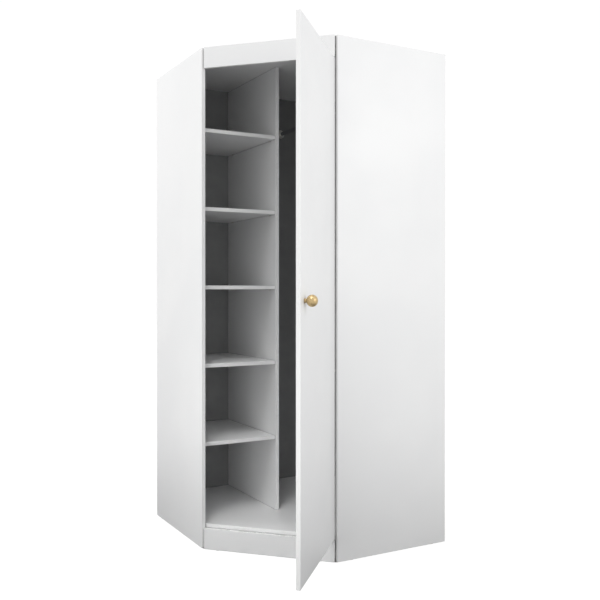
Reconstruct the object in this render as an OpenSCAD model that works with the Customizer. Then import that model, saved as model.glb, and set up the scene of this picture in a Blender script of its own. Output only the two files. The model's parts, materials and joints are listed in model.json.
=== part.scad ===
// Corner wardrobe with a diagonal front, one full-height door, a column of shelves
// and a hanging compartment.
// Frame: the origin is the room's back corner on the floor. X runs along the left wall
// towards that corner, Y runs along the right wall towards it, and Z is up, so the
// wardrobe fills negative X and negative Y. The diagonal front faces -X and -Y.

/* [Carcass] */
// Length of the wardrobe along each wall
wall_run = 962; // [940:1:1000]
// Depth of each side with its back sheet
side_depth = 552; // [540:1:570]
// Height of the side panels
panel_height = 2100; // [2050:10:2200]
// Thickness of the laminated boards
board = 16; // [15:0.5:17]
// Thickness of the back sheets
back_sheet = 3; // [2.5:0.1:4]
// How far the back sheets stop short of the side panels' outer faces
sheet_inset = 6; // [4:0.5:8]
// Height of the rail above the door
rail_height = 87; // [70:1:110]
// Height of the plinth under the door
plinth_height = 86; // [75:1:95]
// Height of the bottom panel's upper face above the foot of the side panels
floor_level = 100; // [98:1:110]
// Distance of the bottom panel's front edge behind the outer corners
floor_setback = 20; // [18:1:30]
// Width of the upright board in the back corner
post_width = 80; // [60:1:100]
// Height of the glides under the boards
glide_height = 2; // [1:0.5:4]

/* [Shelves] */
// Number of shelves beside the partition
shelf_count = 5; // [5]
// Outer face of the left side to the near face of the partition
partition_offset = 378; // [340:1:400]
// Distance of the partition's front edge behind the side panel's front edge
partition_setback = 45; // [30:1:60]
// Distance of the shelf fronts behind the partition's front edge
shelf_setback = 6; // [0:1:20]
// Height of the lowest shelf's upper face above the foot of the side panels
first_shelf = 433; // [420:1:440]
// Height step from shelf to shelf
shelf_pitch = 336; // [320:1:338]

/* [Door] */
// Opening angle that the door is drawn at
rest_angle = 90.3; // [0:0.1:100]
// Gap above and under the door
door_gap = 3; // [2:0.5:4]
// Distance of the door's face in front of the rail's face
door_proud = 1.5; // [0:0.5:2]
// Gap between the door's ends and the side panels' inner corners
door_end_gap = 0.4; // [0.4:0.1:1]
// Number of hinges
hinge_count = 4; // [3:1:5]
// Distance of the outer hinges from the door's top and bottom edges
hinge_inset = 100; // [80:1:150]
// Distance of the knob's axis from the door's free edge
knob_inset = 55; // [35:1:60]
// How far the knob sits below the middle of the door
knob_drop = 1; // [0:1:60]
// Diameter of the knob's head
knob_diameter = 42; // [36:1:46]
// Length of the knob's head along its axis
knob_length = 40; // [32:1:46]

/* [Hanging rod] */
// Outer diameter of the rod
rod_diameter = 20; // [18:1:25]
// Distance of the rod's axis from the right wall
rod_from_wall = 284; // [250:1:320]
// Height of the rod's axis above the foot of the side panels
rod_level = 1900; // [1850:1:1930]

/* [Hidden] */
$fn = 48;

// Diagonal front
diagonal = (wall_run - side_depth) * sqrt(2);
corner_inset = board / sqrt(2);
rail_face = corner_inset - board;
door_face = rail_face - door_proud;

// Heights of the boards
foot = glide_height;
head = foot + panel_height;
floor_top = foot + floor_level;
floor_under = floor_top - board;
ceiling = head - board;
rail_under = head - rail_height;
plinth_top = foot + plinth_height;

// Inner faces
inner_run = wall_run - board;
side_nails = -wall_run + (board + sheet_inset) / 2;
partition_near = -wall_run + partition_offset;
partition_mid = partition_near + board / 2;
partition_front = -side_depth + partition_setback;
shelf_front = partition_front + shelf_setback;
shelf_side_gap = 0.5;
shelf_back_gap = 2;

// Door and its hinges
door_left = corner_inset + door_end_gap;
door_right = diagonal - corner_inset - door_end_gap;
door_width = door_right - door_left;
door_bottom = plinth_top + door_gap;
door_top = rail_under - door_gap;
pin_from_end = 8.3;
pin_from_face = 7.9;
pivot_along = door_right - pin_from_end;
pivot_deep = door_face + pin_from_face;
hinge_step = (door_top - door_bottom - 2 * hinge_inset) / (hinge_count - 1);
cup_from_end = 20.5;
cup_radius = 17.5;
cup_wall = 0.85;
cup_depth = 12.5;
cup_flange = 1.2;
cup_flange_radius = 19;
cup_wing = 58;
cup_wing_width = 20;
cup_wing_offset = 7;
cup_screw_spread = 24;
pin_radius = 1.5;
pin_half = 9;
lug_thickness = 2.6;
lug_width = 12;
lug_under_mouth = 3;
arm_thickness = 2.4;
arm_width = 10;
arm_eye_radius = 2.8;
arm_clearance = 0.05;
arm_reach = 15;
arm_rise = 14;
arm_run = 52;
arm_screw_radius = 2;
arm_screw_depth = 6;
plate_wing = 2;
plate_length = 34;
plate_width = 45;
plate_screw_spread = 16;
plate_start = 12;
arm_screw_offset = 6;
arm_screw_head = 3.8;
arm_screw_head_height = 1.8;
// Distance of the arm's last stretch off the side panel's inner face
arm_off_face = (diagonal - 2 * corner_inset - pivot_along + pivot_deep + arm_rise) / sqrt(2);

// Fasteners
screw_radius = 1.6;
screw_head = 3.4;
screw_head_height = 1.6;
screw_length = 12;
head_bevel = 0.5;
recess_depth = 1.1;
cam_offsets = [90, 440];
dowel_offsets = [150, 380];
cam_radius = 7.5;
cam_height = 12.5;
cam_reach = 24;
bolt_bore = 3.2;
dowel_radius = 4;
dowel_half = 15;
confirmat_length = 50;
confirmat_offsets = [90, 430];
nail_length = 18;
nail_radius = 0.8;
nail_head = 1.9;
nail_head_height = 0.6;
nail_rows = 5;
nail_first = 200;
edge_nail_places = [180, 420, 690, 860];
pin_hole_depth = 8;
shelf_pin_radius = 2.5;
shelf_pin_offsets = [60, 450];

// Brackets, legs and glides
bracket_leg = 30;
bracket_width = 40;
bracket_thickness = 2;
bracket_spread = 12;
bracket_screw_reach = 20;
bracket_places = [0.14, 0.5, 0.86];
wall_bracket_leg = 50;
wall_bracket_width = 36;
wall_bracket_place = 760;
wall_screw_radius = 3;
wall_screw_drop = 34;
wall_bracket_screw_reach = 30;
leg_places = [[-576, -150], [-576, -430], [-230, -420]];
leg_plate = 64;
leg_plate_thickness = 4;
leg_radius = 18;
leg_foot_radius = 27;
leg_foot_height = 10;
leg_screw_spread = 24;
glide_radius = 7;
glide_nail = 12;
glide_nail_radius = 1;
side_glide_offsets = [70, 480];
plinth_glide_places = [0.12, 0.88];

// Rod fittings
rod_radius = rod_diameter / 2;
rod_wall = 1.2;
rod_clearance = 0.1;
socket_flange = 2.5;
socket_radius = 22;
socket_collar = 14;
collar_wall = 2.4;
socket_screw_circle = 17.5;
rod_height = foot + rod_level;

// Knob
knob_base_radius = 8;
knob_neck_radius = 6.5;
knob_neck = 7;
knob_base_height = 2;
knob_screw_radius = 2;
knob_thread = 16;
knob_steps = 24;
knob_screw_head = 4.5;
knob_screw_head_height = 2.5;

white = [0.95, 0.95, 0.94];
hdf_white = [0.90, 0.90, 0.89];
steel = [0.75, 0.76, 0.78];
nickel = [0.68, 0.68, 0.66];
gold = [0.79, 0.67, 0.43];
beech = [0.85, 0.72, 0.52];
plastic_grey = [0.35, 0.35, 0.36];
plastic_white = [0.92, 0.92, 0.91];

// ---------- Placement ----------

// Draws the children on the left side and mirrors them to the right side
module both_sides() {
    children();
    mirror([1, -1, 0]) children();
}

// Local frame of the front: X along the diagonal from the left outer corner, Y inwards
module on_diagonal() {
    translate([-wall_run, -side_depth, 0]) rotate([0, 0, -45]) children();
}

// Turns parts drawn on the closed door to the angle that the door is drawn at
module on_door() {
    on_diagonal()
        translate([pivot_along, pivot_deep, 0])
            rotate([0, 0, rest_angle])
                translate([-pivot_along, -pivot_deep, 0])
                    children();
}

// Places the children at every hinge's pin height
module at_hinges() {
    for (i = [0 : hinge_count - 1])
        translate([0, 0, door_bottom + hinge_inset + i * hinge_step]) children();
}

// Origin at the pin of each hinge, fixed to the carcass
module at_pins() {
    on_diagonal() translate([pivot_along, pivot_deep, 0]) at_hinges() children();
}

// Origin on the right side panel's inner face at its front corner, X inwards, Y off the face
module at_plates() {
    translate([-side_depth, -inner_run, 0]) at_hinges() children();
}

// Ends of the top and bottom panels: X points into the panel, Z to the cam's open face
module at_panel_ends(offsets) {
    both_sides() for (offset = offsets) {
        translate([-inner_run, -offset, head - board / 2]) children();
        translate([-inner_run, -offset, floor_top - board / 2]) mirror([0, 0, 1]) children();
    }
}

// ---------- Shapes shared by several parts ----------

// Round bar along X from one distance to another
module bar_x(radius, from, to) {
    translate([from, 0, 0]) rotate([0, 90, 0]) cylinder(h = to - from, r = radius);
}

// Cross for a screwdriver, sunk from the origin along -Z
module cross_recess(width, slot, depth) {
    for (turn = [0, 90])
        rotate([0, 0, turn]) translate([0, 0, -depth / 2]) cube([width, slot, depth + 0.1], center = true);
}

// Pan head with a bevelled rim and a cross recess, its underside at the origin
module pan_head(radius, height) {
    difference() {
        union() {
            cylinder(h = height - head_bevel, r = radius);
            translate([0, 0, height - head_bevel])
                cylinder(h = head_bevel, r1 = radius, r2 = radius - head_bevel);
        }
        translate([0, 0, height]) cross_recess(1.2 * radius, 0.28 * radius, recess_depth);
    }
}

// Screw along -Z with the underside of its pan head at the origin
module wood_screw(length = screw_length) {
    translate([0, 0, -length]) cylinder(h = length, r = screw_radius);
    pan_head(screw_head, screw_head_height);
}

// Five-sided board that fills the plan between the side panels
module pentagon(setback, bottom) {
    front = -(wall_run + side_depth) + setback * sqrt(2) + inner_run;
    translate([0, 0, bottom]) linear_extrude(board)
        polygon([
            [-back_sheet, -back_sheet],
            [-back_sheet, -inner_run],
            [front, -inner_run],
            [-inner_run, front],
            [-inner_run, -back_sheet]
        ]);
}

// Upright side board on the left, undrilled, with a rebate for the back sheet
module side_board() {
    difference() {
        translate([-wall_run, -side_depth, foot]) cube([board, side_depth, panel_height]);
        translate([-wall_run + sheet_inset, -back_sheet, floor_under])
            cube([board, back_sheet + 1, panel_height]);
    }
}

// Flat bar between two points of the XY plane, centred on the line
module flat_bar(start, end, thickness, width) {
    run = end - start;
    translate([start.x, start.y, -width / 2]) rotate([0, 0, atan2(run.y, run.x)])
        translate([0, -thickness / 2, 0]) cube([norm(run), thickness, width]);
}

// Angle bracket with its corner at the origin: one leg along Y under a board, one down a face
module angle_bracket(leg, width) {
    translate([-width / 2, 0, -leg]) cube([width, bracket_thickness, leg]);
    translate([-width / 2, 0, -bracket_thickness]) cube([width, leg, bracket_thickness]);
}

// ---------- Fasteners ----------

module cam_bolt() {
    bar_x(2.5, -11, 0);
    bar_x(3, 0, cam_reach - cam_radius - 0.5);
    bar_x(1.8, cam_reach - cam_radius - 0.5, cam_reach - 2);
    bar_x(2.9, cam_reach - 2, cam_reach + 1);
}

module cam_body() {
    translate([cam_reach, 0, board / 2 - cam_height]) cylinder(h = cam_height, r = cam_radius);
}

module cam_lock() {
    difference() {
        cam_body();
        bar_x(bolt_bore, cam_reach - cam_radius - 1, cam_reach + 1.2);
        translate([cam_reach, 0, board / 2]) cross_recess(7, 1.4, 1.5);
    }
}

// Bores that a cam joint needs in the board that holds the cam
module cam_bores() {
    at_panel_ends(cam_offsets) {
        cam_body();
        bar_x(bolt_bore, 0, cam_reach);
    }
}

module dowel_set() {
    at_panel_ends(dowel_offsets) bar_x(dowel_radius, -10, 2 * dowel_half - 10);
}

module bolt_set() {
    at_panel_ends(cam_offsets) cam_bolt();
}

// Confirmat screw along -Z with its head's top at the origin
module confirmat() {
    head_height = 2;
    translate([0, 0, -head_height]) cylinder(h = head_height, r = 5);
    translate([0, 0, -board]) cylinder(h = board - head_height, r = 3.5);
    translate([0, 0, -confirmat_length]) cylinder(h = confirmat_length - board, r = 2.5);
}

module at_confirmats() {
    for (offset = confirmat_offsets) {
        translate([partition_mid, -offset, head]) children();
        translate([partition_mid, -offset, floor_under]) mirror([0, 0, 1]) children();
    }
    translate([-back_sheet - post_width / 2, -back_sheet - board / 2, head]) children();
}

// The screws themselves, with hexagon sockets
module confirmat_screws() {
    socket_depth = 3;
    color(steel) at_confirmats() difference() {
        confirmat();
        translate([0, 0, -socket_depth]) cylinder(h = socket_depth + 0.1, r = 2.3, $fn = 6);
    }
}

// Nail driven from the left wall side at a place along X
module nail_left(along, height) {
    translate([along, 0, height]) rotate([-90, 0, 0]) {
        translate([0, 0, -nail_length]) cylinder(h = nail_length - nail_head_height, r = nail_radius);
        translate([0, 0, -nail_head_height]) cylinder(h = nail_head_height, r = nail_head);
    }
}

// Upright row of nails
module nail_column(along) {
    step = (panel_height - 2 * nail_first) / (nail_rows - 1);
    for (i = [0 : nail_rows - 1]) nail_left(along, foot + nail_first + i * step);
}

// Rows of nails into the edges of the top and bottom panels
module nail_edges() {
    for (place = edge_nail_places, height = [head - board / 2, floor_top - board / 2])
        nail_left(-place, height);
}

module nails_left() {
    nail_column(side_nails);
    nail_column(partition_mid);
    nail_column(-back_sheet - post_width / 2);
    nail_edges();
}

module nails_right() {
    mirror([1, -1, 0]) {
        nail_column(side_nails);
        nail_column(-back_sheet - board / 2);
        nail_edges();
    }
}

function shelf_under(i) = foot + first_shelf - board + i * shelf_pitch;

module shelf_pin_set() {
    for (i = [0 : shelf_count - 1])
        for (offset = shelf_pin_offsets)
            for (face = [-inner_run, partition_near])
                translate([face, -offset, shelf_under(i) - shelf_pin_radius])
                    bar_x(shelf_pin_radius, -pin_hole_depth, pin_hole_depth);
}

// Screws of the angle brackets behind the plinth and the rail
module bracket_screw_pair() {
    for (side = [-1, 1]) {
        translate([side * bracket_spread, bracket_screw_reach, -bracket_thickness])
            mirror([0, 0, 1]) wood_screw();
        translate([side * bracket_spread, bracket_thickness, -bracket_screw_reach])
            rotate([-90, 0, 0]) wood_screw();
    }
}

module at_brackets(level) {
    on_diagonal() for (place = bracket_places)
        translate([diagonal * place, corner_inset, level]) children();
}

module bracket_screw_set() {
    at_brackets(floor_under) bracket_screw_pair();
    at_brackets(ceiling) bracket_screw_pair();
}

module bracket_row(level) {
    at_brackets(level) difference() {
        angle_bracket(bracket_leg, bracket_width);
        bracket_screw_pair();
    }
}

// Origin in the corner between a back sheet and the top panel, Y off the sheet
module at_wall_brackets() {
    both_sides() translate([-wall_bracket_place, -back_sheet, ceiling]) mirror([0, 1, 0]) children();
}

module wall_screw_hole() {
    translate([0, -back_sheet - 1, -wall_screw_drop]) rotate([-90, 0, 0])
        cylinder(h = back_sheet + bracket_thickness + 2, r = wall_screw_radius);
}

module wall_bracket_screw_set() {
    at_wall_brackets() for (side = [-1, 1])
        translate([side * bracket_spread, wall_bracket_screw_reach, -bracket_thickness])
            mirror([0, 0, 1]) wood_screw();
}

module glide() {
    cylinder(h = glide_height, r = glide_radius);
    translate([0, 0, glide_height]) cylinder(h = glide_nail, r = glide_nail_radius);
}

module glide_set() {
    both_sides() for (offset = side_glide_offsets)
        translate([-wall_run + board / 2, -offset, 0]) glide();
    translate([-back_sheet - glide_radius - 1, -back_sheet - board / 2, 0]) glide();
    on_diagonal() for (place = plinth_glide_places)
        translate([diagonal * place, rail_face + board / 2, 0]) glide();
}

module leg_screw_set() {
    for (place = leg_places)
        translate([place.x, place.y, floor_under - leg_plate_thickness]) mirror([0, 0, 1])
            for (x = [-1, 1], y = [-1, 1])
                translate([x * leg_screw_spread, y * leg_screw_spread, 0]) wood_screw();
}

// ---------- Carcass boards ----------

module side_panel_left() {
    color(white) difference() {
        side_board();
        bolt_set();
        dowel_set();
        shelf_pin_set();
        nail_column(side_nails);
        glide_set();
    }
}

module side_panel_right() {
    color(white) difference() {
        mirror([1, -1, 0]) side_board();
        bolt_set();
        dowel_set();
        mirror([1, -1, 0]) nail_column(side_nails);
        plate_screw_set();
        socket_screw_set();
        glide_set();
    }
}

module top_panel() {
    color(white) difference() {
        pentagon(corner_inset, ceiling);
        cam_bores();
        dowel_set();
        at_confirmats() confirmat();
        both_sides() nail_edges();
        at_brackets(ceiling) bracket_screw_pair();
        wall_bracket_screw_set();
    }
}

module bottom_panel() {
    color(white) difference() {
        pentagon(floor_setback, floor_under);
        post_board();
        cam_bores();
        dowel_set();
        at_confirmats() confirmat();
        both_sides() nail_edges();
        at_brackets(floor_under) bracket_screw_pair();
        leg_screw_set();
    }
}

module partition() {
    color(white) difference() {
        translate([partition_near, partition_front, floor_top])
            cube([board, -back_sheet - partition_front, ceiling - floor_top]);
        shelf_pin_set();
        at_confirmats() confirmat();
        nail_column(partition_mid);
    }
}

module post_board() {
    translate([-back_sheet - post_width, -back_sheet - board, foot])
        cube([post_width, board, ceiling - foot]);
}

module corner_post() {
    color(white) difference() {
        post_board();
        at_confirmats() confirmat();
        nail_column(-back_sheet - post_width / 2);
        mirror([1, -1, 0]) nail_column(-back_sheet - board / 2);
        glide_set();
    }
}

module back_panel_left() {
    color(hdf_white) difference() {
        translate([-wall_run + sheet_inset, -back_sheet, floor_under])
            cube([wall_run - sheet_inset, back_sheet, head - floor_under]);
        nails_left();
        at_wall_brackets() wall_screw_hole();
        socket_screw_set();
    }
}

module back_panel_right() {
    color(hdf_white) difference() {
        translate([-back_sheet, -wall_run + sheet_inset, floor_under])
            cube([back_sheet, wall_run - back_sheet - sheet_inset, head - floor_under]);
        nails_right();
        at_wall_brackets() wall_screw_hole();
    }
}

// Board of the diagonal front between two heights
module front_board(bottom, top) {
    on_diagonal() translate([corner_inset, rail_face, bottom])
        cube([diagonal - 2 * corner_inset, board, top - bottom]);
}

module front_rail() {
    color(white) difference() {
        front_board(rail_under, head);
        at_brackets(ceiling) bracket_screw_pair();
    }
}

module plinth() {
    color(white) difference() {
        front_board(foot, plinth_top);
        at_brackets(floor_under) bracket_screw_pair();
        glide_set();
    }
}

module shelf(i) {
    width = partition_near + inner_run - 2 * shelf_side_gap;
    color(white) translate([-inner_run + shelf_side_gap, shelf_front, shelf_under(i)])
        cube([width, -back_sheet - shelf_back_gap - shelf_front, board]);
}

// ---------- Hanging rod ----------

// Origin on each face that the rod ends at, Z along the rod
module at_rod_front() {
    translate([-rod_from_wall, -inner_run, rod_height]) rotate([-90, 0, 0]) children();
}

module at_rod_back() {
    translate([-rod_from_wall, -back_sheet, rod_height]) rotate([90, 0, 0]) children();
}

module hanging_rod() {
    length = inner_run - back_sheet - 2 * socket_flange;
    color(steel) at_rod_front() translate([0, 0, socket_flange]) difference() {
        cylinder(h = length, r = rod_radius);
        translate([0, 0, -1]) cylinder(h = length + 2, r = rod_radius - rod_wall);
    }
}

module socket_screws(length) {
    translate([0, 0, socket_flange]) for (turn = [90, 210, 330])
        rotate([0, 0, turn]) translate([socket_screw_circle, 0, 0]) wood_screw(length);
}

// The front socket's screws go into the side panel, the back ones are short and go into the sheet
module socket_screw_set() {
    at_rod_front() socket_screws(screw_length);
    at_rod_back() socket_screws(back_sheet + socket_flange);
}

module rod_socket() {
    difference() {
        union() {
            cylinder(h = socket_flange, r = socket_radius);
            cylinder(h = socket_flange + socket_collar, r = rod_radius + collar_wall);
        }
        translate([0, 0, socket_flange])
            cylinder(h = 2 * socket_collar, r = rod_radius + rod_clearance);
    }
}

module rod_sockets() {
    color(nickel) difference() {
        union() {
            at_rod_front() rod_socket();
            at_rod_back() rod_socket();
        }
        socket_screw_set();
    }
}

// ---------- Door ----------

module cup_outline() {
    translate([door_right - cup_from_end, door_face + board, 0]) rotate([90, 0, 0])
        cylinder(h = cup_depth, r = cup_radius);
}

// Screws of the hinge cups, along the door's thickness
module cup_screw_set() {
    at_hinges() for (side = [-1, 1])
        translate([
            door_right - cup_from_end - cup_wing_offset,
            door_face + board + cup_flange,
            side * cup_screw_spread
        ])
            rotate([-90, 0, 0]) wood_screw();
}

module door_panel() {
    color(white) on_door() difference() {
        translate([door_left, door_face, door_bottom])
            cube([door_width, board, door_top - door_bottom]);
        at_hinges() cup_outline();
        cup_screw_set();
        knob_screw_shape();
    }
}

// Pressed cup with a screw flange, two lugs inside and a bore for the hinge pin
module hinge_cup() {
    mouth = door_face + board;
    inner_radius = cup_radius - cup_wall;
    lug_start = cup_from_end - pin_from_end - lug_width / 3;
    translate([door_right - cup_from_end, mouth, 0]) rotate([90, 0, 0]) {
        difference() {
            union() {
                cylinder(h = cup_depth, r = cup_radius);
                translate([0, 0, -cup_flange]) cylinder(h = cup_flange, r = cup_flange_radius);
                translate([-cup_wing_offset - cup_wing_width / 2, -cup_wing / 2, -cup_flange])
                    cube([cup_wing_width, cup_wing, cup_flange]);
            }
            translate([0, 0, -cup_flange - 1])
                cylinder(h = cup_depth + cup_flange + 1 - cup_wall, r = inner_radius);
        }
        intersection() {
            cylinder(h = cup_depth - cup_wall / 2, r = inner_radius + cup_wall / 2);
            for (side = [0, 1]) mirror([0, side, 0])
                translate([lug_start, pin_half - lug_thickness, lug_under_mouth])
                    cube([lug_width, cup_radius, cup_depth - lug_under_mouth]);
        }
    }
}

module hinge_cups() {
    color(nickel) on_door() difference() {
        at_hinges() hinge_cup();
        pin_set();
        cup_screw_set();
    }
}

// Hinge pins in the frame of the closed door
module pin_set() {
    translate([pivot_along, pivot_deep, 0]) at_hinges()
        cylinder(h = 2 * pin_half, r = pin_radius, center = true);
}

module hinge_pins() {
    color(steel) on_door() pin_set();
}

// Cranked arm: from the pin along the closed door, out of the cup and back along the side panel
module hinge_arm() {
    knee = [-arm_reach, 0];
    shoulder = [-arm_reach, arm_rise];
    turn = [0, arm_rise];
    end = turn + arm_run / sqrt(2) * [1, 1];
    difference() {
        union() {
            cylinder(h = arm_width, r = arm_eye_radius, center = true);
            flat_bar([0, 0], knee, arm_thickness, arm_width);
            flat_bar(knee, shoulder, arm_thickness, arm_width);
            flat_bar(shoulder, turn, arm_thickness, arm_width);
            flat_bar(turn, end, arm_thickness, arm_width);
            for (bend = [knee, shoulder, turn])
                translate(bend) cylinder(h = arm_width, r = arm_thickness / 2, center = true);
        }
        cylinder(h = arm_width + 2, r = pin_radius + arm_clearance, center = true);
    }
}

module hinge_arms() {
    color(nickel) difference() {
        at_pins() hinge_arm();
        arm_screw_set();
    }
}

module hinge_plate() {
    saddle = arm_off_face - arm_thickness / 2;
    translate([plate_start, 0, -plate_width / 2]) cube([plate_length, plate_wing, plate_width]);
    translate([plate_start, 0, -arm_width / 2]) cube([plate_length, saddle, arm_width]);
}

module plate_screw_set() {
    at_plates() for (side = [-1, 1])
        translate([plate_start + plate_length / 2, plate_wing, side * plate_screw_spread])
            rotate([-90, 0, 0]) wood_screw();
}

module arm_screw_set() {
    top = arm_off_face + arm_thickness / 2;
    along = plate_start + plate_length / 2 + arm_screw_offset;
    at_plates() translate([along, top, 0]) rotate([-90, 0, 0]) {
        translate([0, 0, -arm_screw_depth]) cylinder(h = arm_screw_depth, r = arm_screw_radius);
        pan_head(arm_screw_head, arm_screw_head_height);
    }
}

module hinge_plates() {
    color(nickel) difference() {
        at_plates() hinge_plate();
        plate_screw_set();
        arm_screw_set();
    }
}

// ---------- Knob ----------

module at_knob() {
    translate([door_left + knob_inset, door_face, (door_bottom + door_top) / 2 - knob_drop])
        rotate([90, 0, 0]) children();
}

// Screw from the back of the door into the knob
module knob_screw_shape() {
    at_knob() {
        translate([0, 0, -board]) cylinder(h = board + knob_thread, r = knob_screw_radius);
        translate([0, 0, -board]) mirror([0, 0, 1]) pan_head(knob_screw_head, knob_screw_head_height);
    }
}

module knob() {
    half = knob_length / 2;
    radius = knob_diameter / 2;
    neck_angle = asin(knob_neck_radius / radius);
    head_centre = knob_neck + half * cos(neck_angle);
    color(gold) on_door() difference() {
        at_knob() rotate_extrude() polygon(concat(
            [[0, 0], [knob_base_radius, 0], [knob_base_radius, knob_base_height]],
            [for (i = [0 : knob_steps])
                let (angle = neck_angle + i / knob_steps * (180 - neck_angle))
                [radius * sin(angle), head_centre - half * cos(angle)]]
        ));
        knob_screw_shape();
    }
}

// ---------- Legs and wall brackets ----------

module support_legs() {
    shaft = floor_under - leg_plate_thickness;
    color(plastic_grey) difference() {
        for (place = leg_places) translate([place.x, place.y, 0]) {
            cylinder(h = leg_foot_height, r = leg_foot_radius);
            cylinder(h = shaft, r = leg_radius);
            translate([-leg_plate / 2, -leg_plate / 2, shaft])
                cube([leg_plate, leg_plate, leg_plate_thickness]);
        }
        leg_screw_set();
    }
}

module wall_brackets() {
    color(steel) difference() {
        at_wall_brackets() angle_bracket(wall_bracket_leg, wall_bracket_width);
        at_wall_brackets() wall_screw_hole();
        wall_bracket_screw_set();
    }
}

// ---------- Drawing ----------

side_panel_left();
side_panel_right();
top_panel();
bottom_panel();
partition();
corner_post();
back_panel_left();
back_panel_right();
front_rail();
plinth();
shelf(0);  // shelf_1
shelf(1);  // shelf_2
shelf(2);  // shelf_3
shelf(3);  // shelf_4
shelf(4);  // shelf_5
color(steel) shelf_pin_set();  // shelf_pins
hanging_rod();
rod_sockets();
color(steel) socket_screw_set();  // rod_screws
color(steel) at_panel_ends(cam_offsets) cam_lock();  // cam_locks
color(steel) bolt_set();  // cam_bolts
color(beech) dowel_set();  // dowels
confirmat_screws();
color(steel) {  // back_nails
    nails_left();
    nails_right();
}
color(steel) bracket_row(floor_under);  // plinth_brackets
color(steel) bracket_row(ceiling);  // rail_brackets
color(steel) bracket_screw_set();  // bracket_screws
support_legs();
color(steel) leg_screw_set();  // leg_screws
color(plastic_white) glide_set();  // floor_glides
wall_brackets();
color(steel) wall_bracket_screw_set();  // wall_bracket_screws
door_panel();
hinge_cups();
color(steel) on_door() cup_screw_set();  // hinge_cup_screws
hinge_pins();
hinge_arms();
hinge_plates();
color(steel) plate_screw_set();  // hinge_plate_screws
color(steel) arm_screw_set();  // hinge_arm_screws
knob();
color(steel) on_door() knob_screw_shape();  // knob_screw
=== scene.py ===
"""Looks of the corner wardrobe: materials, softened edges, the studio and the camera."""

import json
import math

import bmesh
import bpy
import numpy as np
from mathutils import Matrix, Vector


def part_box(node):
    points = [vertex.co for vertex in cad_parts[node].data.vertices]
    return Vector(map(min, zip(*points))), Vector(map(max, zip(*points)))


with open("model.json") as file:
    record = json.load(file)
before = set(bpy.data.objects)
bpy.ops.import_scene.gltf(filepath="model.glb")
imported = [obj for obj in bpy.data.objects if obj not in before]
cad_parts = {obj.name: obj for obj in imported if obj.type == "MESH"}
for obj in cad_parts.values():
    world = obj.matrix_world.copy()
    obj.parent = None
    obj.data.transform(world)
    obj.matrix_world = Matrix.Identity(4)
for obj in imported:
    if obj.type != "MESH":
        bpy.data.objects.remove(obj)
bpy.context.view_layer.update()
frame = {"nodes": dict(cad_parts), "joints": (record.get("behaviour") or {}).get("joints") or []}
nodes = frame["nodes"]

MM = 0.001
X, Y, Z = range(3)
DIAGONAL = math.radians(45)
WHITE_LIGHT = (1.0, 1.0, 1.0, 1.0)


# ---------------------------------------------------------------- shader helpers

def new_material(name):
    """An empty node material: the material, its tree and its principled shader."""
    material = bpy.data.materials.new(name)
    material.use_nodes = True
    tree = material.node_tree
    return material, tree, tree.nodes["Principled BSDF"]


def add(tree, kind, inputs=None, **settings):
    """Adds a node; inputs maps a socket's name or number to a value or to another socket."""
    node = tree.nodes.new(kind)
    for key, value in settings.items():
        setattr(node, key, value)
    for key, value in (inputs or {}).items():
        if isinstance(value, bpy.types.NodeSocket):
            tree.links.new(value, node.inputs[key])
        else:
            node.inputs[key].default_value = value
    return node


def calc(tree, operation, *values):
    """The result of a math node."""
    return add(tree, "ShaderNodeMath", dict(enumerate(values)), operation=operation).outputs[0]


def product(tree, *values):
    result = values[0]
    for value in values[1:]:
        result = calc(tree, "MULTIPLY", result, value)
    return result


def ramp(tree, value, low, high, to_low=0.0, to_high=1.0):
    """Maps value from low..high to to_low..to_high, with a smooth start and end."""
    ends = {"From Min": low, "From Max": high, "To Min": to_low, "To Max": to_high}
    inputs = {"Value": value, **ends}
    node = add(tree, "ShaderNodeMapRange", inputs, interpolation_type="SMOOTHSTEP")
    return node.outputs["Result"]


def blend(tree, factor, first, second):
    """Mixes two colours, each a socket or a list of three numbers."""
    node = add(tree, "ShaderNodeMix", data_type="RGBA")
    sockets = node.inputs[0], node.inputs[6], node.inputs[7]
    for socket, value in zip(sockets, (factor, first, second)):
        if isinstance(value, bpy.types.NodeSocket):
            tree.links.new(value, socket)
        else:
            socket.default_value = (*value, 1.0)
    return node.outputs[2]


def noise(tree, place, waves, detail=3.0, roughness=0.5):
    """Noise from 0 to 1 with so many waves in a metre."""
    inputs = {"Vector": place, "Scale": waves, "Detail": detail, "Roughness": roughness}
    return add(tree, "ShaderNodeTexNoise", inputs).outputs["Fac"]


def distance(tree, place, spot):
    inputs = {0: place, 1: tuple(spot)}
    return add(tree, "ShaderNodeVectorMath", inputs, operation="DISTANCE").outputs["Value"]


def object_place(tree):
    return add(tree, "ShaderNodeTexCoord").outputs["Object"]


def finish_shader(tree, shader, colour, roughness, height, depth, strength=0.5):
    """Links the colour, the roughness and a bump of that depth in metres."""
    tree.links.new(colour, shader.inputs["Base Color"])
    tree.links.new(roughness, shader.inputs["Roughness"])
    bump = {"Height": height, "Distance": depth, "Strength": strength}
    relief = add(tree, "ShaderNodeBump", bump)
    tree.links.new(relief.outputs[0], shader.inputs["Normal"])


# ---------------------------------------------------------------- laminated boards

# Thickness of the edge band and of its glue line, and how far the rubbing of an edge reaches
BAND = 1.0 * MM
GLUE = 0.12 * MM
RUBBED = 1.5 * MM
# Waves of noise in a metre
CLOUD_WAVES, SCUFF_WAVES, SPECKLE_WAVES, PEARL_WAVES = 2.2, 38.0, 420.0, 1500.0
SMEAR_WAVES = 60.0
WHITE, WHITE_SHADE = [0.800, 0.802, 0.802], [0.775, 0.778, 0.781]
SPECK, BAND_WHITE = [0.70, 0.70, 0.705], [0.825, 0.825, 0.82]
GLUE_TONE, WORN = [0.42, 0.41, 0.40], [0.56, 0.54, 0.51]
# Tone and strength of the painted shade in gaps and joints
JOINT_SHADE_TONE = [0.10, 0.10, 0.10]
JOINT_SHADE_AMOUNT = 0.85
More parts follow.
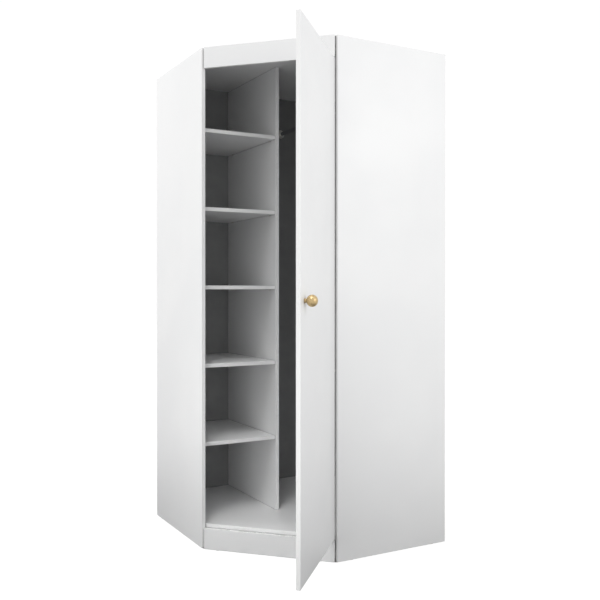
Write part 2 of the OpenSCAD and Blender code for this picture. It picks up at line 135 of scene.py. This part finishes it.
# Finger marks cover a disc of the first radius and fade out to the second, in metres
TOUCHED, UNTOUCHED = 0.03, 0.16
PEARL_DEPTH = 0.03 * MM


def turned_points(node, turn):
    """A node's vertices in axes turned about Z by turn."""
    points = np.array([vertex.co for vertex in nodes[node].data.vertices])
    c, s = math.cos(turn), math.sin(turn)
    return points @ np.array([[c, -s, 0], [s, c, 0], [0, 0, 1]])


def board_axes(tree, node, turn):
    """Place in the board's axes, depth inside each pair of faces, and how much each is faced."""
    points = turned_points(node, turn)
    centre = (points.min(0) + points.max(0)) / 2
    half = (points.max(0) - points.min(0)) / 2
    coords = add(tree, "ShaderNodeTexCoord")
    turned = [
        add(tree, "ShaderNodeVectorRotate", {"Vector": coords.outputs[name], "Angle": -turn},
            rotation_type="Z_AXIS").outputs[0]
        for name in ("Object", "Normal")
    ]
    from_centre = {0: turned[0], 1: tuple(centre)}
    place = add(tree, "ShaderNodeVectorMath", from_centre, operation="SUBTRACT").outputs[0]
    along = add(tree, "ShaderNodeSeparateXYZ", {0: place})
    inside = [
        calc(tree, "SUBTRACT", float(size), calc(tree, "ABSOLUTE", along.outputs[axis]))
        for axis, size in enumerate(half)
    ]
    normal = add(tree, "ShaderNodeSeparateXYZ", {0: turned[1]})
    facing = [calc(tree, "ABSOLUTE", normal.outputs[axis]) for axis in range(3)]
    return place, inside, facing


def paint_joint_shade(tree, colour, reach):
    """Painted shade: darkens the colour by ambient occlusion in gaps and along joints narrower than
    reach.
    """
    open_sky = add(tree, "ShaderNodeAmbientOcclusion", {"Distance": reach}, samples=8).outputs["AO"]
    return blend(tree, ramp(tree, open_sky, 0.1, 0.75, JOINT_SHADE_AMOUNT, 0.0), colour, JOINT_SHADE_TONE)


def finger_marks(tree, spot):
    """Change of roughness round a spot that hands touch."""
    place = object_place(tree)
    near = ramp(tree, distance(tree, place, spot), TOUCHED, UNTOUCHED, 1.0, 0.0)
    smears = noise(tree, place, SMEAR_WAVES, 4.0, 0.6)
    return product(tree, near, ramp(tree, smears, 0.42, 0.62, -0.05, 0.03))


def laminate(name, node, thin, turn, reach, touched=None):
    """White melamine: a fine pearl texture, a plastic edge band, its glue line, rubbed edges and
    painted shade in its joints.
    """
    material, tree, shader = new_material(name)
    place, inside, facing = board_axes(tree, node, turn)
    wide = [axis for axis in range(3) if axis != thin]
    to_edge = calc(tree, "MINIMUM", inside[wide[0]], inside[wide[1]])
    on_face = ramp(tree, facing[thin], 0.80, 0.95)

    clouds = noise(tree, place, CLOUD_WAVES, 2.0)
    speckle = noise(tree, place, SPECKLE_WAVES, 2.0)
    pearl = noise(tree, place, PEARL_WAVES, 2.0)
    scuffs = noise(tree, place, SCUFF_WAVES, 6.0, 0.7)

    off_glue = calc(tree, "ABSOLUTE", calc(tree, "SUBTRACT", to_edge, BAND))
    glue = product(tree, ramp(tree, off_glue, GLUE / 2, GLUE, 1.0, 0.0), on_face)
    sheet = product(tree, on_face, ramp(tree, to_edge, BAND, BAND + GLUE))
    band = calc(tree, "SUBTRACT", 1.0, sheet)
    to_arris = calc(tree, "MAXIMUM", to_edge, inside[thin])
    at_arris = ramp(tree, to_arris, 0.0, RUBBED, 1.0, 0.0)
    rubbed = product(tree, at_arris, ramp(tree, scuffs, 0.60, 0.72))

    colour = blend(tree, ramp(tree, clouds, 0.35, 0.65), WHITE, WHITE_SHADE)
    colour = blend(tree, ramp(tree, speckle, 0.55, 0.75, 0.0, 0.25), colour, SPECK)
    colour = blend(tree, product(tree, band, 0.6), colour, BAND_WHITE)
    colour = blend(tree, product(tree, glue, 0.45), colour, GLUE_TONE)
    colour = blend(tree, product(tree, rubbed, 0.35), colour, WORN)
    # Painted shade: ambient occlusion darkens the colour in gaps and joints
    colour = paint_joint_shade(tree, colour, reach)

    roughness = ramp(tree, clouds, 0.3, 0.7, 0.36, 0.44)
    roughness = calc(tree, "ADD", roughness, ramp(tree, scuffs, 0.45, 0.75, -0.03, 0.07))
    roughness = calc(tree, "SUBTRACT", roughness, product(tree, band, 0.08))
    if touched is not None:
        roughness = calc(tree, "ADD", roughness, finger_marks(tree, touched))

    height = calc(tree, "ADD", product(tree, pearl, 0.6), product(tree, speckle, 0.4))
    height = calc(tree, "SUBTRACT", height, product(tree, glue, 1.5))
    shader.inputs["Specular IOR Level"].default_value = 0.45
    finish_shader(tree, shader, colour, roughness, height, PEARL_DEPTH, 0.6)
    return material


# ---------------------------------------------------------------- back sheets

FIBRE_WAVES, MOTTLE_WAVES = 900.0, 14.0
FIBRE_DEPTH = 0.06 * MM
FIBRE_DARK, FIBRE_LIGHT = [0.30, 0.185, 0.105], [0.42, 0.28, 0.17]
FIBRE_STAIN = [0.26, 0.155, 0.085]
# The inner face's coat, set dark grey as painted shade for the dim inside of the wardrobe
SHADED_INNER_GREY, SHADED_INNER_MOTTLE = [0.30, 0.302, 0.305], [0.275, 0.278, 0.282]


def hardboard(name, node, thin):
    """Back sheet: an inner face coated dark grey, the grey being painted shade for the dim inside
    of the wardrobe, and raw brown fibre on the wall side and the edges.
    """
    material, tree, shader = new_material(name)
    place, _, _ = board_axes(tree, node, 0.0)
    facing = add(tree, "ShaderNodeTexCoord").outputs["Normal"]
    normal = add(tree, "ShaderNodeSeparateXYZ", {0: facing})
    raw = ramp(tree, normal.outputs[thin], -0.6, -0.3)
    fibres = noise(tree, place, FIBRE_WAVES, 5.0, 0.65)
    mottle = noise(tree, place, MOTTLE_WAVES, 4.0, 0.6)
    brown = blend(tree, ramp(tree, fibres, 0.35, 0.65), FIBRE_DARK, FIBRE_LIGHT)
    brown = blend(tree, ramp(tree, mottle, 0.3, 0.7, 0.0, 0.4), brown, FIBRE_STAIN)
    shaded_inner = blend(tree, ramp(tree, mottle, 0.3, 0.7), SHADED_INNER_GREY, SHADED_INNER_MOTTLE)
    colour = blend(tree, raw, shaded_inner, brown)
    roughness = ramp(tree, raw, 0.0, 1.0, 0.50, 0.80)
    roughness = calc(tree, "ADD", roughness, ramp(tree, mottle, 0.3, 0.7, -0.04, 0.06))
    finish_shader(tree, shader, colour, roughness, fibres, FIBRE_DEPTH)
    return material


# ---------------------------------------------------------------- metals, plastic and beech

GOLD, GOLD_SHADE = [0.60, 0.45, 0.23], [0.54, 0.39, 0.19]
BEECH, BEECH_RING, BEECH_FLECK = [0.62, 0.42, 0.24], [0.52, 0.33, 0.17], [0.36, 0.21, 0.10]
SCRATCH_DEPTH, POLISH_DEPTH, GRAIN_DEPTH = 0.02 * MM, 0.04 * MM, 0.05 * MM

def metal(name, light, dark, roughness, grain=(1.0, 1.0, 1.0), waves=260.0):
    """Plated metal with cloudy tone and fine scratches in its roughness and relief."""
    material, tree, shader = new_material(name)
    place = object_place(tree)
    stretched = add(tree, "ShaderNodeMapping", {"Vector": place, "Scale": grain}).outputs[0]
    clouds = noise(tree, place, 90.0, 3.0, 0.6)
    scratches = noise(tree, stretched, waves, 6.0, 0.7)
    colour = blend(tree, ramp(tree, clouds, 0.3, 0.7), light, dark)
    shader.inputs["Metallic"].default_value = 1.0
    scratched = ramp(tree, scratches, 0.3, 0.75, roughness * 0.7, roughness * 1.5)
    finish_shader(tree, shader, colour, scratched, scratches, SCRATCH_DEPTH, 0.4)
    return material


def gold_plate():
    """Satin gold with a slightly mottled tone and soft polishing marks."""
    material, tree, shader = new_material("gold_plate")
    place = object_place(tree)
    mottle = noise(tree, place, 260.0, 4.0, 0.6)
    polish = noise(tree, place, 1100.0, 3.0, 0.5)
    colour = blend(tree, ramp(tree, mottle, 0.32, 0.68), GOLD, GOLD_SHADE)
    roughness = ramp(tree, polish, 0.3, 0.7, 0.30, 0.40)
    shader.inputs["Metallic"].default_value = 0.6
    finish_shader(tree, shader, colour, roughness, mottle, POLISH_DEPTH, 0.35)
    return material


def moulded_plastic(name, clean, dusty):
    """Moulded plastic with a fine spark-eroded grain and a little dust."""
    material, tree, shader = new_material(name)
    place = object_place(tree)
    grain = noise(tree, place, 1300.0, 3.0, 0.6)
    clouds = noise(tree, place, 55.0, 5.0, 0.7)
    colour = blend(tree, ramp(tree, clouds, 0.5, 0.8, 0.0, 0.3), clean, dusty)
    roughness = ramp(tree, grain, 0.3, 0.7, 0.45, 0.62)
    finish_shader(tree, shader, colour, roughness, grain, GRAIN_DEPTH, 0.6)
    return material


def beech_wood():
    """Bare beech: soft rings, dark flecks and a dry surface."""
    material, tree, shader = new_material("beech_wood")
    place = object_place(tree)
    flecks = noise(tree, place, 700.0, 4.0, 0.6)
    rings = noise(tree, place, 140.0, 3.0, 0.5)
    colour = blend(tree, ramp(tree, rings, 0.3, 0.7), BEECH, BEECH_RING)
    colour = blend(tree, ramp(tree, flecks, 0.6, 0.75, 0.0, 0.6), colour, BEECH_FLECK)
    roughness = ramp(tree, flecks, 0.3, 0.7, 0.6, 0.75)
    finish_shader(tree, shader, colour, roughness, flecks, GRAIN_DEPTH)
    return material


# ---------------------------------------------------------------- edges

BOARD_ROUND, HARDWARE_ROUND = 0.8 * MM, 0.2 * MM
# Points closer than these are one: at a corner of the hull, before the rounding, and after it
SAME_CORNER, WELD_BEFORE, WELD_AFTER = 0.01 * MM, 0.002 * MM, 0.001 * MM
# Faces that meet at less than this are one flat face, on a piece and on its hull
FLAT_ANGLE, HULL_ANGLE = math.radians(0.5), math.radians(1)
# Edges sharper than this are rounded
SHARP_ANGLE = math.radians(35)


def corner_group(piece):
    """A vertex group of the piece's outer corners, so that its drilled holes stay sharp."""
    hull = bmesh.new()
    hull.from_mesh(piece.data)
    made = bmesh.ops.convex_hull(hull, input=hull.verts)
    spare = made["geom_interior"] + made["geom_unused"]
    inner = {item for item in spare if isinstance(item, bmesh.types.BMVert)}
    bmesh.ops.delete(hull, geom=list(inner), context="VERTS")
    bmesh.ops.dissolve_limit(hull, angle_limit=HULL_ANGLE, verts=hull.verts, edges=hull.edges)
    corners = np.array([vertex.co for vertex in hull.verts])
    hull.free()
    group = piece.vertex_groups.new(name="corners")
    for vertex in piece.data.vertices:
        if np.abs(corners - np.array(vertex.co)).max(1).min() < SAME_CORNER:
            group.add([vertex.index], 1.0, "REPLACE")
    return group.name


def soften(node, width, segments, outer_only=False):
    """Rounds a node's edges with modifiers; its own mesh stays as packed."""
    piece = nodes[node]
    piece.data.shade_smooth()
    weld = piece.modifiers.new("weld", "WELD")
    weld.merge_threshold = WELD_BEFORE
    flat = piece.modifiers.new("flat", "DECIMATE")
    flat.decimate_type = "DISSOLVE"
    flat.angle_limit = FLAT_ANGLE
    bevel = piece.modifiers.new("bevel", "BEVEL")
    bevel.width = width
    bevel.segments = segments
    if outer_only:
        bevel.limit_method = "VGROUP"
        bevel.vertex_group = corner_group(piece)
    else:
        bevel.limit_method = "ANGLE"
        bevel.angle_limit = SHARP_ANGLE
    clean = piece.modifiers.new("clean", "WELD")
    clean.merge_threshold = WELD_AFTER
    piece.modifiers.new("normals", "WEIGHTED_NORMAL")


def dress(node, material):
    """Gives a CAD node one material."""
    mesh = nodes[node].data
    mesh.materials.clear()
    mesh.materials.append(material)


# ---------------------------------------------------------------- dressing the CAD nodes

door_open = math.radians(-frame["joints"][0]["range_deg"][0])
BOARDS = {
    "side_panel_left": (X, 0.0), "side_panel_right": (Y, 0.0), "top_panel": (Z, 0.0),
    "bottom_panel": (Z, 0.0), "partition": (X, 0.0), "corner_post": (Y, 0.0),
    "shelf_1": (Z, 0.0), "shelf_2": (Z, 0.0), "shelf_3": (Z, 0.0), "shelf_4": (Z, 0.0),
    "shelf_5": (Z, 0.0), "front_rail": (Y, -DIAGONAL), "plinth": (Y, -DIAGONAL),
    "door_panel": (Y, door_open - DIAGONAL),
}
# How far the painted shade of a joint reaches over a board; it reaches less on the panel beside the
# door's hinges
JOINT_SHADE_REACH = 11 * MM
SHORTER_JOINT_SHADE = {"side_panel_right": 3 * MM}
knob_low, knob_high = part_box("knob")
for board, (thin, turn) in BOARDS.items():
    touched = (knob_low + knob_high) / 2 if board == "door_panel" else None
    reach = SHORTER_JOINT_SHADE.get(board, JOINT_SHADE_REACH)
    dress(board, laminate("laminate_" + board, board, thin, turn, reach, touched))
    soften(board, BOARD_ROUND, 3, outer_only=True)

dress("back_panel_left", hardboard("hardboard_left", "back_panel_left", Y))
dress("back_panel_right", hardboard("hardboard_right", "back_panel_right", X))

ALONG_THE_ROD = (1.0, 0.05, 1.0)
nickel = metal("nickel_plate", [0.78, 0.76, 0.73], [0.71, 0.69, 0.66], 0.30)
zinc = metal("zinc_plate", [0.72, 0.73, 0.76], [0.63, 0.63, 0.62], 0.36)
chrome = metal("chrome_tube", [0.80, 0.81, 0.82], [0.76, 0.77, 0.78], 0.10, ALONG_THE_ROD, 160.0)
cast_zinc = metal("zinc_cast", [0.52, 0.52, 0.53], [0.44, 0.44, 0.44], 0.48)
FINISHES = {
    "shelf_pins": nickel, "rod_sockets": nickel, "rod_screws": zinc, "hanging_rod": chrome,
    "cam_locks": cast_zinc, "cam_bolts": zinc, "dowels": beech_wood(),
    "confirmat_screws": zinc, "back_nails": zinc,
    "plinth_brackets": zinc, "rail_brackets": zinc, "bracket_screws": zinc, "leg_screws": zinc,
    "wall_brackets": zinc, "wall_bracket_screws": zinc,
    "hinge_cups": nickel, "hinge_cup_screws": nickel, "hinge_pins": nickel,
    "hinge_arms": nickel, "hinge_plates": nickel, "hinge_plate_screws": nickel,
    "hinge_arm_screws": nickel, "knob": gold_plate(), "knob_screw": zinc,
    "support_legs": moulded_plastic("black_plastic", [0.022, 0.022, 0.024], [0.10, 0.095, 0.09]),
    "floor_glides": moulded_plastic("white_plastic", [0.72, 0.72, 0.71], [0.50, 0.49, 0.47]),
}
for node, finish in FINISHES.items():
    dress(node, finish)
    soften(node, HARDWARE_ROUND, 2)


# ---------------------------------------------------------------- studio and camera

FLOOR_HALF = 20.0
FOOTPRINT_MIDDLE = (-0.5, -0.5, 0.0)
# The floor reflects little light near the wardrobe and more past it, a painted shade that darkens
# the wardrobe's lower parts
DIM_WITHIN, PALE_PAST = 0.8, 2.6
DIM, PALE = 0.05, 0.8
# What the camera sees of it: a grey and a glow; the glow is less at the contact line and none under
# the wardrobe, a painted contact shadow
SEEN_GREY, GLOW = 0.35, 0.76
CONTACT_REACH, CONTACT_GLOW = 2 * MM, 0.5
GLOW_TO, NO_GLOW_FROM = 6 * MM, 9 * MM
SKY, BACKDROP = 0.88, 1.02


def depth_under_wardrobe(tree):
    """How far a place on the floor is inside the wardrobe's five-sided plan."""
    low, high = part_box("side_panel_left")
    along = add(tree, "ShaderNodeSeparateXYZ", {0: object_place(tree)}).outputs
    wall_run, side_front = -float(low[X]), float(low[Y])
    across = calc(tree, "ADD", calc(tree, "ADD", along[X], along[Y]), wall_run - side_front)
    side = calc(tree, "ADD", calc(tree, "MINIMUM", along[X], along[Y]), wall_run)
    back = calc(tree, "MULTIPLY", calc(tree, "MAXIMUM", along[X], along[Y]), -1.0)
    return calc(tree, "MINIMUM", calc(tree, "MINIMUM", across, side), back)


def make_floor():
    """A pale floor: nearly white to the camera with soft shadows and a painted contact shadow at
    and under the wardrobe's foot, and dim to the wardrobe close by, a painted shade on its lower
    parts.
    """
    signs = (-1, -1), (1, -1), (1, 1), (-1, 1)
    corners = [(x * FLOOR_HALF, y * FLOOR_HALF, 0.0) for x, y in signs]
    mesh = bpy.data.meshes.new("floor")
    mesh.from_pydata(corners, [], [(0, 1, 2, 3)])
    floor = bpy.data.objects.new("floor", mesh)
    bpy.context.scene.collection.objects.link(floor)
    material, tree, shader = new_material("pale_floor")
    seen = add(tree, "ShaderNodeLightPath").outputs["Is Camera Ray"]
    from_middle = distance(tree, object_place(tree), FOOTPRINT_MIDDLE)
    # Painted shade: the floor's bounce is dimmed near the wardrobe, darkening its lower parts
    bounce = ramp(tree, from_middle, DIM_WITHIN, PALE_PAST, DIM, PALE)
    grey = add(tree, "ShaderNodeMix", {0: seen, 2: bounce, 3: SEEN_GREY}).outputs[0]
    tree.links.new(grey, shader.inputs["Base Color"])
    # Painted contact shadow: the glow dims where the floor meets the wardrobe and fades out under
    # it
    occlusion = add(tree, "ShaderNodeAmbientOcclusion", {"Distance": CONTACT_REACH}, samples=8)
    painted_contact_shadow = ramp(tree, occlusion.outputs["AO"], 0.0, 1.0, CONTACT_GLOW, 1.0)
    uncovered = ramp(tree, depth_under_wardrobe(tree), GLOW_TO, NO_GLOW_FROM, 1.0, 0.0)
    glow = product(tree, seen, GLOW, painted_contact_shadow, uncovered)
    tree.links.new(glow, shader.inputs["Emission Strength"])
    shader.inputs["Emission Color"].default_value = WHITE_LIGHT
    shader.inputs["Roughness"].default_value = 0.9
    shader.inputs["Specular IOR Level"].default_value = 0.0
    mesh.materials.append(material)


def make_world():
    """Soft white light from all round, and a white backdrop."""
    world = bpy.data.worlds.new("studio")
    bpy.context.scene.world = world
    world.use_nodes = True
    tree = world.node_tree
    sky = tree.nodes["Background"]
    sky.inputs["Color"].default_value = WHITE_LIGHT
    sky.inputs["Strength"].default_value = SKY
    backdrop = add(tree, "ShaderNodeBackground", {"Color": WHITE_LIGHT, "Strength": BACKDROP})
    seen = add(tree, "ShaderNodeLightPath").outputs["Is Camera Ray"]
    mix = add(tree, "ShaderNodeMixShader", {0: seen, 1: sky.outputs[0], 2: backdrop.outputs[0]})
    tree.links.new(mix.outputs[0], tree.nodes["World Output"].inputs["Surface"])


# Name: place, aimed at, side of the square in metres, watts, spread in degrees
SOFTBOXES = {
    "left_back": ((-4.2, 1.7, 2.7), (-0.96, -0.3, 1.4), 1.8, 40.0, 180),
    "left": ((-4.6, 0.5, 1.9), (-0.96, -0.3, 1.3), 2.0, 10.0, 180),
    "right_back": ((1.7, -4.2, 2.7), (-0.3, -0.96, 1.4), 1.8, 20.0, 180),
    "right": ((1.0, -4.5, 1.7), (-0.3, -0.96, 1.2), 2.0, 25.0, 180),
    "above": ((-1.7, -1.7, 4.6), (-0.9, -0.9, 0.5), 1.6, 22.5, 180),
    "low_front": ((-2.3, -2.0, 0.5), (-0.78, -0.74, 0.12), 0.8, 1.2, 70),
    "high_front": ((-2.0, -2.0, 3.3), (-0.70, -0.70, 0.1), 0.7, 0.95, 32),
}


def make_lights():
    """Square area lights, each aimed at its spot."""
    for name, (place, target, side, power, spread) in SOFTBOXES.items():
        data = bpy.data.lights.new(name, "AREA")
        data.size = side
        data.energy = power
        data.spread = math.radians(spread)
        light = bpy.data.objects.new(name, data)
        light.location = place
        light.rotation_euler = (Vector(target) - Vector(place)).to_track_quat("-Z", "Y").to_euler()
        bpy.context.scene.collection.objects.link(light)


# Right of the diagonal front, at half the wardrobe's height, looking nearly level
CAMERA_PLACE = (-2.2311, -3.5370, 1.0827)
CAMERA_TURN_DEGREES = (89.70, 0.0, -28.17)
SENSOR_MM, LENS_MM = 36.0, 46.21
SHIFT_X, SHIFT_Y = 0.0483, -0.0080


def make_camera():
    data = bpy.data.cameras.new("camera")
    data.sensor_width = SENSOR_MM
    data.lens = LENS_MM
    data.shift_x = SHIFT_X
    data.shift_y = SHIFT_Y
    camera = bpy.data.objects.new("camera", data)
    camera.location = CAMERA_PLACE
    camera.rotation_euler = [math.radians(angle) for angle in CAMERA_TURN_DEGREES]
    bpy.context.scene.collection.objects.link(camera)
    bpy.context.scene.camera = camera


make_floor()
make_world()
make_lights()
make_camera()
bpy.context.scene.view_settings.view_transform = "Standard"
